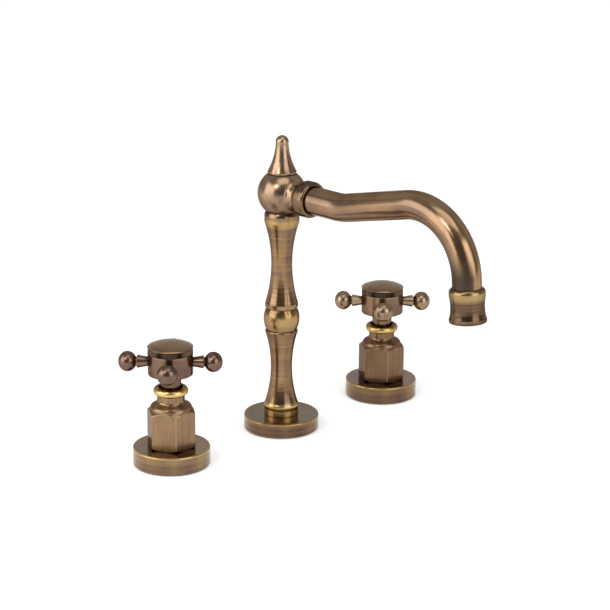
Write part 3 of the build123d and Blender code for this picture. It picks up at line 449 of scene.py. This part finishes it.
# %% Antique brass
BODY_TONES = {"Gold": (0.375, 0.232, 0.098, 1), "Brown": (0.135, 0.075, 0.060, 1)}
BODY_TONES.update({"Bright": (0.62, 0.43, 0.16, 1), "Dark": (0.024, 0.013, 0.010, 1)})
DEEP_TONES = {"Gold": (0.300, 0.178, 0.072, 1), "Brown": (0.100, 0.053, 0.042, 1)}
DEEP_TONES.update({"Bright": (0.50, 0.34, 0.12, 1), "Dark": (0.020, 0.011, 0.008, 1)})
COLD_TONES = {"Gold": (0.250, 0.152, 0.078, 1), "Brown": (0.096, 0.055, 0.042, 1)}
COLD_TONES.update({"Bright": (0.40, 0.27, 0.13, 1), "Dark": (0.016, 0.009, 0.007, 1)})
HANDLE_TONES = {"Gold": (0.190, 0.112, 0.066, 1), "Brown": (0.082, 0.046, 0.038, 1)}
HANDLE_TONES.update({"Bright": (0.36, 0.24, 0.13, 1), "Dark": (0.016, 0.009, 0.007, 1)})
TUBE_TONES = {"Gold": (0.420, 0.266, 0.118, 1), "Brown": (0.158, 0.090, 0.060, 1)}
TUBE_TONES.update({"Bright": (0.60, 0.43, 0.18, 1), "Dark": (0.026, 0.014, 0.006, 1)})
HEAD_TONES = {"Gold": (0.430, 0.285, 0.160, 1), "Brown": (0.160, 0.090, 0.066, 1)}
HEAD_TONES.update({"Bright": (0.60, 0.43, 0.22, 1), "Dark": (0.022, 0.012, 0.010, 1)})
NOZZLE_TONES = {"Gold": (0.155, 0.086, 0.036, 1), "Brown": (0.050, 0.026, 0.018, 1)}
NOZZLE_TONES.update({"Bright": (0.48, 0.34, 0.13, 1), "Dark": (0.016, 0.009, 0.007, 1)})
CAP_TONES = {"Gold": (0.300, 0.180, 0.082, 1), "Brown": (0.125, 0.070, 0.044, 1)}
CAP_TONES.update({"Bright": (0.42, 0.29, 0.14, 1), "Dark": (0.016, 0.009, 0.007, 1)})
ARM_TONES = {"Gold": (0.420, 0.300, 0.155, 1), "Brown": (0.180, 0.116, 0.086, 1)}
ARM_TONES.update({"Bright": (0.50, 0.37, 0.20, 1), "Dark": (0.016, 0.009, 0.007, 1)})
POLISH = 0.17
BAND_CLEAN = 0.6
BAND_SATIN = 0.16
RIM_TINT = (0.30, 0.24, 0.20, 1)
TOP_TINT = (1.0, 0.95, 0.90, 1)
GROOVE_DEPTH = 0.03 * MM
LINE_DENSITY = 2400.0
EDGE_ROUND = 0.35
LACQUER = 0.35
LACQUER_ROUGH = 0.12
UPRIGHT = (0, 0, 0)
UNSTRETCHED = (1, 1, 1)


def calmed(tones, level, calm):
    """The same tones at another level, with gold and brown drawn together by a share."""
    pairs = list(zip(tones["Gold"][:3], tones["Brown"]))
    gold = [level * (g + calm * (b - g)) for g, b in pairs] + [1]
    brown = [level * (b + calm * (g - b)) for g, b in pairs] + [1]
    return {**tones, "Gold": gold, "Brown": brown}


def centred(tree, place, tilt=UPRIGHT, stretch=UNSTRETCHED):
    """Coordinates of a piece about its own axis."""
    raw = add(tree, "ShaderNodeTexCoord").outputs["Object"]
    mapping = add(tree, "ShaderNodeMapping", {"vector_type": "TEXTURE"}, Vector=raw)
    mapping.inputs["Location"].default_value = place
    mapping.inputs["Rotation"].default_value = [radians(angle) for angle in tilt]
    mapping.inputs["Scale"].default_value = stretch
    return mapping.outputs[0]


def lacquered(tree, skin, edge_round, groove_depth, lacquer, rim_tint):
    """Metal under clear lacquer, with softened edges and fine grooves."""
    bevel = {"samples": BEVEL_SAMPLES}
    soft_edge = add(tree, "ShaderNodeBevel", bevel, Radius=edge_round * MM).outputs[0]
    bump = add(tree, "ShaderNodeBump", None, Strength=1.0, Distance=groove_depth, Normal=soft_edge)
    put(tree, skin["Height"], bump.inputs["Height"])
    shader = add(tree, "ShaderNodeBsdfPrincipled", None, Metallic=1.0, Specular_Tint=rim_tint)
    shader.inputs["Coat Weight"].default_value = lacquer
    shader.inputs["Coat Roughness"].default_value = LACQUER_ROUGH
    put(tree, skin["Color"], shader.inputs["Base Color"])
    put(tree, skin["Roughness"], shader.inputs["Roughness"])
    put(tree, bump.outputs[0], shader.inputs["Normal"])
    add(tree, "ShaderNodeOutputMaterial", None, Surface=shader.outputs[0])


def antique_brass(name, axis, marks, tones=BODY_TONES, bands=(), **how):
    """Darkened and rubbed brass about an axis.

    Bands are (middle, half, inside, strength): gold that is partly rubbed and partly painted
    highlight. A shade is painted shade, (dark height, clear height, depth), kept to one side by
    shade_side (clear x, dark x). Polished is (dull height, polished height).
    """
    material = bpy.data.materials.new(name)
    material.use_nodes = True
    tree = material.node_tree
    tree.nodes.clear()
    tilt = how.get("tilt", UPRIGHT)
    upright = centred(tree, axis, tilt)
    brushed = centred(tree, axis, tilt, how.get("stretch", UNSTRETCHED))
    lines = use(tree, marks, Vector=brushed, Density=how.get("density", LINE_DENSITY)).outputs
    edges = use(tree, worn_and_sheen_edges).outputs
    # Edge wear, partly painted highlight, scaled by rubbed.
    wear_and_sheen = calc(tree, "MULTIPLY", edges["Wear"], how.get("rubbed", 1.0))
    grime_and_shade = edges["Grime"]
    place = add(tree, "ShaderNodeSeparateXYZ", None, Vector=upright).outputs
    matt = how.get("matt", POLISH)
    if "polished" in how:
        low, high = how["polished"]
        matt = ranged(tree, place["Z"], low * MM, high * MM, matt, POLISH)
    # Each band adds gold that is partly rubbed and partly painted highlight.
    for middle, half, inside, strength in bands:
        extent = {"Middle": middle * MM, "Half": half * MM, "Inside": inside * MM}
        band = use(tree, rubbed_and_sheen_band, Vector=upright, **extent)
        share = calc(tree, "MULTIPLY", band.outputs[0], strength)
        wear_and_sheen = calc(tree, "MAXIMUM", wear_and_sheen, share)
        matt = calc(tree, "MULTIPLY_ADD", share, BAND_SATIN, matt)
        grime_and_shade = calc(tree, "MAXIMUM", calc(tree, "MULTIPLY_ADD", share, -BAND_CLEAN, grime_and_shade), 0)
    # Painted shade by height, and on one side in x if asked, joins the dark corner mix.
    if "shade" in how:
        low, high, depth = how["shade"]
        shade = ranged(tree, place["Z"], low * MM, high * MM, depth, 0)
        if "shade_side" in how:
            clear, dark = how["shade_side"]
            aside = ranged(tree, place["X"], dark * MM, clear * MM, 1, 0)
            shade = calc(tree, "MULTIPLY", shade, aside)
        grime_and_shade = calc(tree, "MAXIMUM", grime_and_shade, shade)
    skin = use(tree, patina, Vector=upright, Wear=wear_and_sheen, Grime=grime_and_shade, Matt=matt, **tones)
    for label in ("Fine", "Broad", "Streak"):
        put(tree, lines[label], skin.inputs[label])
    edge_round = how.get("edge_round", EDGE_ROUND)
    groove_depth = how.get("groove_depth", GROOVE_DEPTH)
    lacquer = how.get("lacquer", LACQUER)
    rim_tint = how.get("rim_tint", RIM_TINT)
    lacquered(tree, skin.outputs, edge_round, groove_depth, lacquer, rim_tint)
    return material


print("antique brass ready")

# %% [markdown]
# ## Dressing the pillar and the spout
# The pillar, the ball head and the finial share the upright axis at the origin. The collar and
# the nozzle have axes of their own. The tube bends in one upright plane, so lines that depend
# only on X run along it from end to end. The lower end of the tail on one side, and the lower
# half of the ball, are darkened with painted shade.

# %% Pillar and spout
UNION_Z = 169.44
NOZZLE_TOP = Vector((0, -168.29, 138.43)) * MM
NOZZLE_TILT = 4.4
# Bands: the foot ring's gold is painted highlight only; the foot, bead, head and nozzle bands and the flange
# rim are partly rubbed gold and partly painted highlight.
FOOT_RING_HIGHLIGHT = (12.6, 2.6, 0, 1.0)
FOOT_BAND = (17.4, 2.8, 0, 1.0)
BEAD_BAND = (79.6, 7.0, 0, 0.4)
HEAD_BAND = (149.2, 3.8, 0, 0.42)
NOZZLE_BAND = (4.2, 4.2, 0, 0.5)
SPOUT_RIM = (10.0, 1.2, 25.2, 0.4)
# Painted shade: the lower half of the ball, and the lower end of the tail on its -X side.
BALL_SHADE = (156.0, 176.0, 0.45)
TAIL_SHADE = (144.0, 166.0, 1.15)
TAIL_SHADE_SIDE = (-1.6, -4.6)


def dress(material, *names):
    """Gives a material to solids by node name."""
    for name in names:
        nodes[name].material_slots[0].material = material
    print(material.name, "on", len(names), "pieces")


PILLAR_BANDS = (FOOT_RING_HIGHLIGHT, FOOT_BAND, BEAD_BAND, HEAD_BAND)
pillar_brass = antique_brass(
    "pillar_brass", SPOUT_AXIS, turning_marks, calmed(DEEP_TONES, 1.0, -0.12), PILLAR_BANDS,
    matt=0.16,
)
dress(pillar_brass, "column_lower", "column_bead", "column_upper")

head_brass = antique_brass(
    "head_brass", SPOUT_AXIS, brushed_marks, HEAD_TONES,
    stretch=(1, 1, 2), density=260.0, groove_depth=0.01 * MM, matt=0.20, rubbed=0.4,
    shade=BALL_SHADE,
)
dress(head_brass, "spout_head", "finial")

spout_flange_brass = antique_brass(
    "spout_flange_brass", SPOUT_AXIS, turning_marks, calmed(DEEP_TONES, 0.75, -0.05), (SPOUT_RIM,),
    density=1700.0, groove_depth=0.010 * MM, rim_tint=TOP_TINT,
)
dress(spout_flange_brass, "spout_flange")

collar_brass = antique_brass(
    "collar_brass", (0, 0, UNION_Z * MM), turning_marks, calmed(BODY_TONES, 0.50, 0.0),
    tilt=(90, 0, 0), density=4000.0, groove_depth=0.012 * MM,
)
dress(collar_brass, "spout_collar")

nozzle_brass = antique_brass(
    "nozzle_brass", NOZZLE_TOP, turning_marks, NOZZLE_TONES, (NOZZLE_BAND,),
    tilt=(180 - NOZZLE_TILT, 0, 0), groove_depth=0.012 * MM,
)
dress(nozzle_brass, "nozzle")

tube_brass = antique_brass(
    "tube_brass", SPOUT_AXIS, brushed_marks, TUBE_TONES,
    stretch=(1, 60, 60), density=1500.0, shade=TAIL_SHADE, shade_side=TAIL_SHADE_SIDE, lacquer=0.40,
)
dress(tube_brass, "spout_tube")

# %% [markdown]
# ## Dressing the valves
# A flange is turned, and the shroud above it is brushed up and down on its six flats. Each
# valve has its own axis, so each gets its own copy of the metal. The handle is darker, more
# bronze than brass. The edges of its cap and hub are bright, partly rubbed and partly painted
# highlight, and the top of each cap dome is lightened with painted highlight. The arms are a
# little paler than the hub, and those of the cold handle are the palest.

# %% Valves
# Bands: the lip and the flange, hub and cap rims are partly rubbed gold and partly painted highlight; the
# cap crown is painted highlight only.
LIP_BAND = (51.6, 3.2, 0, 1.0)
VALVE_RIM = (12.2, 1.2, 24.9, 0.5)
HUB_RIM = (77.5, 0.7, 14.6, 0.3)
CAP_RIM = (82.2, 0.8, 14.4, 0.2)
CAP_CROWN_HIGHLIGHT = (85.4, 2.4, 0, 0.25)
HOT_SIDE = ("hot", HOT_AXIS, BODY_TONES, HANDLE_TONES, calmed(HANDLE_TONES, 1.2, 0.1))
COLD_SIDE = ("cold", COLD_AXIS, DEEP_TONES, COLD_TONES, ARM_TONES)
for side, axis, tones, handle_tones, arm_tones in (HOT_SIDE, COLD_SIDE):
    flange_brass = antique_brass(
        f"{side}_flange_brass", axis, turning_marks, calmed(tones, 0.80, -0.05), (VALVE_RIM,),
        density=1700.0, groove_depth=0.012 * MM, rim_tint=TOP_TINT,
    )
    dress(flange_brass, f"{side}_flange")
    shroud_brass = antique_brass(
        f"{side}_shroud_brass", axis, brushed_marks, calmed(tones, 0.94, 0.14), (LIP_BAND,),
        stretch=(1, 1, 40), density=3000.0, edge_round=0.8, groove_depth=0.015 * MM,
        matt=0.28, polished=(41.0, 46.0),
    )
    dress(shroud_brass, f"{side}_shroud")
    handle_bronze = antique_brass(
        f"{side}_handle_bronze", axis, brushed_marks, handle_tones, (HUB_RIM,),
        stretch=(1, 1, 2), density=300.0, groove_depth=0.008 * MM, rubbed=0.5,
    )
    dress(handle_bronze, f"{side}_handle_hub")
    arm_bronze = antique_brass(
        f"{side}_arm_bronze", axis, brushed_marks, arm_tones,
        stretch=(1, 1, 2), density=300.0, groove_depth=0.008 * MM, rubbed=0.5, matt=0.22,
    )
    dress(arm_bronze, *[f"{side}_arm_{i}" for i in (1, 2, 3, 4)])
    cap_bronze = antique_brass(
        f"{side}_cap_bronze", axis, turning_marks, calmed(CAP_TONES, 0.80, -0.1),
        (CAP_RIM, CAP_CROWN_HIGHLIGHT),
        density=4000.0, groove_depth=0.006 * MM, rubbed=0.4, matt=0.22, rim_tint=TOP_TINT,
    )
    dress(cap_bronze, f"{side}_handle_cap")

# %% [markdown]
# ## Hidden pieces
# Below the deck and inside, nothing is lacquered: bare machined brass, stainless washers, black
# rubber, white ceramic discs and hard plastic. Each still gets its own small variation.

# %% Bare materials
DRIFT_WAVES = 0.06
GRAIN_STRENGTH = 0.6
GRAIN_DULLS = 0.2


def plain(name, first, second, scale, metallic, roughness, depth):
    """A plain material whose colour drifts between two tones, with a fine grain in mm."""
    material = bpy.data.materials.new(name)
    material.use_nodes = True
    tree = material.node_tree
    tree.nodes.clear()
    raw = add(tree, "ShaderNodeTexCoord").outputs["Object"]
    grain = noise(tree, raw, scale, 4.0)
    drift = noise(tree, raw, scale * DRIFT_WAVES, 2.0)
    colour = mixed(tree, ranged(tree, drift, 0.3, 0.7), first, second)
    fine = {"Strength": GRAIN_STRENGTH, "Distance": depth * MM}
    bump = add(tree, "ShaderNodeBump", None, Height=grain, **fine)
    shader = add(tree, "ShaderNodeBsdfPrincipled", None, Metallic=metallic)
    put(tree, colour, shader.inputs["Base Color"])
    dull = calc(tree, "MULTIPLY_ADD", grain, GRAIN_DULLS, roughness)
    put(tree, dull, shader.inputs["Roughness"])
    put(tree, bump.outputs[0], shader.inputs["Normal"])
    add(tree, "ShaderNodeOutputMaterial", None, Surface=shader.outputs[0])
    return material


BRASS_TONES = ((0.62, 0.45, 0.19, 1), (0.72, 0.55, 0.27, 1))
STEEL_TONES = ((0.50, 0.50, 0.50, 1), (0.62, 0.62, 0.61, 1))
RUBBER_TONES = ((0.016, 0.016, 0.016, 1), (0.028, 0.027, 0.026, 1))
CERAMIC_TONES = ((0.80, 0.80, 0.78, 1), (0.86, 0.86, 0.85, 1))
BLACK_TONES = ((0.020, 0.020, 0.020, 1), (0.035, 0.034, 0.033, 1))
WHITE_TONES = ((0.70, 0.70, 0.67, 1), (0.76, 0.76, 0.74, 1))
bare_brass = plain("bare_brass", *BRASS_TONES, 900, 1.0, 0.22, 0.01)
steel = plain("stainless_steel", *STEEL_TONES, 1500, 1.0, 0.2, 0.005)
rubber = plain("black_rubber", *RUBBER_TONES, 1800, 0.0, 0.55, 0.02)
ceramic = plain("white_ceramic", *CERAMIC_TONES, 1200, 0.0, 0.15, 0.004)
acetal = plain("black_acetal", *BLACK_TONES, 1400, 0.0, 0.35, 0.006)
white_acetal = plain("white_acetal", *WHITE_TONES, 1400, 0.0, 0.35, 0.006)

by_slot = {"raw_brass": bare_brass, "steel": steel, "rubber": rubber}
by_slot.update({"ceramic": ceramic, "plastic": acetal, "white_plastic": white_acetal})
for row in frame["record"]["subparts"]:
    if row["material_slot"] in by_slot:
        dress(by_slot[row["material_slot"]], row["node"])

# %% [markdown]
# ## Knurled bands
# A cap unscrews from its handle by a knurled band, a ring of fine upright ribs. One rib is two
# edges. Spinning copies of it makes the toothed outline, a plain circle makes the inside, and
# bridging the two gives a ring that is then pulled up to its height.

# %% Knurled bands
JOIN_DISTANCE = 0.001 * MM
KNURL_RIBS = 84
KNURL_INNER_R = 14.3
KNURL_VALLEY_R = 14.55
KNURL_CREST_R = 15.0
KNURL_LOW = 78.1
KNURL_HIGH = 81.3
KNURL_TONES = {"Gold": (0.085, 0.055, 0.040, 1), "Brown": (0.046, 0.028, 0.022, 1)}
KNURL_TONES.update({"Bright": (0.13, 0.085, 0.055, 1), "Dark": (0.008, 0.005, 0.004, 1)})


def finished(shape, name, body, material):
    """Turns a bmesh into a piece at the origin that rides on a body."""
    bmesh.ops.remove_doubles(shape, verts=shape.verts, dist=JOIN_DISTANCE)
    bmesh.ops.recalc_face_normals(shape, faces=shape.faces)
    mesh = bpy.data.meshes.new(name)
    shape.to_mesh(mesh)
    shape.free()
    mesh.materials.append(material)
    piece = bpy.data.objects.new(name, mesh)
    bpy.context.scene.collection.objects.link(piece)
    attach(piece, body)
    print(name, len(mesh.polygons), "faces")
    return piece


def knurl_ring(axis):
    """A ring of upright ribs about an axis."""
    shape = bmesh.new()
    step = 2 * pi / KNURL_RIBS
    corners = ((KNURL_VALLEY_R, 0), (KNURL_CREST_R, step / 2), (KNURL_VALLEY_R, step))
    rib = [shape.verts.new((r * cos(a) * MM, r * sin(a) * MM, 0)) for r, a in corners]
    edges = [shape.edges.new(rib[0:2]), shape.edges.new(rib[1:3])]
    bmesh.ops.spin(
        shape, geom=rib + edges, cent=(0, 0, 0), axis=(0, 0, 1), angle=2 * pi - step,
        steps=KNURL_RIBS - 1, use_duplicate=True,
    )
    bmesh.ops.remove_doubles(shape, verts=shape.verts, dist=JOIN_DISTANCE)
    bmesh.ops.create_circle(shape, segments=2 * KNURL_RIBS, radius=KNURL_INNER_R * MM)
    ring = bmesh.ops.bridge_loops(shape, edges=shape.edges[:])["faces"]
    lifted = bmesh.ops.extrude_face_region(shape, geom=ring, use_keep_orig=True)["geom"]
    top = [part for part in lifted if isinstance(part, bmesh.types.BMVert)]
    bmesh.ops.translate(shape, verts=top, vec=(0, 0, (KNURL_HIGH - KNURL_LOW) * MM))
    bmesh.ops.translate(shape, verts=shape.verts, vec=axis + Vector((0, 0, KNURL_LOW * MM)))
    return shape


for side, axis in (("hot", HOT_AXIS), ("cold", COLD_AXIS)):
    knurl_bronze = antique_brass(
        f"{side}_knurl_bronze", axis, turning_marks, KNURL_TONES, edge_round=0.1, lacquer=0.15
    )
    finished(knurl_ring(axis), f"{side}_cap_knurl", f"{side}_handle", knurl_bronze)

# %% [markdown]
# ## Threads
# The solids have plain cylinders where the pipe threads are. A thread is a small triangle that
# winds up the cylinder: the spin operator turns it and lifts it a little at every step. The
# sizes below are radius, pitch and length in millimetres.

# %% Threads
THREAD_STEPS = 28
THREAD_PROUD = 0.32
THREAD_ROOT = 0.25
THREAD_HALF = 0.42
THREAD_LEAD = 0.6
HALF_INCH_PITCH = 1.814
THREE_EIGHTHS_PITCH = 1.337
SHANK = (13.2, HALF_INCH_PITCH, 35.0)
SHANK_LOW = -35.6
INLET = (10.48, HALF_INCH_PITCH, 15.0)
INLET_LOW = -81.6
SPOUT_SHANK = (10.48, HALF_INCH_PITCH, 45.0)
SPOUT_SHANK_LOW = -45.6
HOSE_END = (8.33, THREE_EIGHTHS_PITCH, 11.6)
OUTLET_OUT = 17.2
OUTLET_LOW = -47
TEE_OUT = 16.2
TEE_LOW = -67


def thread(name, radius, pitch, length, start, tilt=None):
    """A helical rib on a cylinder of a radius, from a start point, along Z or tilted."""
    shape = bmesh.new()
    turns = int(length / pitch) - 1
    corners = ((-THREAD_ROOT, -THREAD_HALF), (THREAD_PROUD, 0), (-THREAD_ROOT, THREAD_HALF))
    places = [((radius + out) * MM, 0, (THREAD_LEAD + up) * pitch * MM) for out, up in corners]
    rib = [shape.verts.new(place) for place in places]
    edges = [shape.edges.new((rib[i], rib[(i + 1) % 3])) for i in range(3)]
    shape.faces.new(rib)
    rise = pitch * MM / THREAD_STEPS
    spun = bmesh.ops.spin(
        shape, geom=edges, cent=(0, 0, 0), axis=(0, 0, 1), dvec=(0, 0, rise),
        angle=2 * pi * turns, steps=THREAD_STEPS * turns,
    )
    last = [part for part in spun["geom_last"] if isinstance(part, bmesh.types.BMVert)]
    shape.faces.new(last)
    if tilt:
        bmesh.ops.rotate(shape, verts=shape.verts, cent=(0, 0, 0), matrix=tilt)
    bmesh.ops.translate(shape, verts=shape.verts, vec=start)
    return finished(shape, name, "base", bare_brass)


def spot(x, z):
    """A place in the upright plane of the three axes, from millimetres."""
    return Vector((x * MM, 0, z * MM))


TO_RIGHT = Matrix.Rotation(pi / 2, 3, "Y")
TO_LEFT = Matrix.Rotation(-pi / 2, 3, "Y")
HOT_ENDS = ("hot", HOT_AXIS, 1, TO_RIGHT, TO_LEFT)
COLD_ENDS = ("cold", COLD_AXIS, -1, TO_LEFT, TO_RIGHT)
for side, axis, sense, inward, outward in (HOT_ENDS, COLD_ENDS):
    thread(f"{side}_shank_thread", *SHANK, axis + spot(0, SHANK_LOW))
    thread(f"{side}_inlet_thread", *INLET, axis + spot(0, INLET_LOW))
    thread(f"{side}_outlet_thread", *HOSE_END, axis + spot(sense * OUTLET_OUT, OUTLET_LOW), inward)
    thread(f"tee_{side}_thread", *HOSE_END, spot(-sense * TEE_OUT, TEE_LOW), outward)
thread("spout_shank_thread", *SPOUT_SHANK, spot(0, SPOUT_SHANK_LOW))
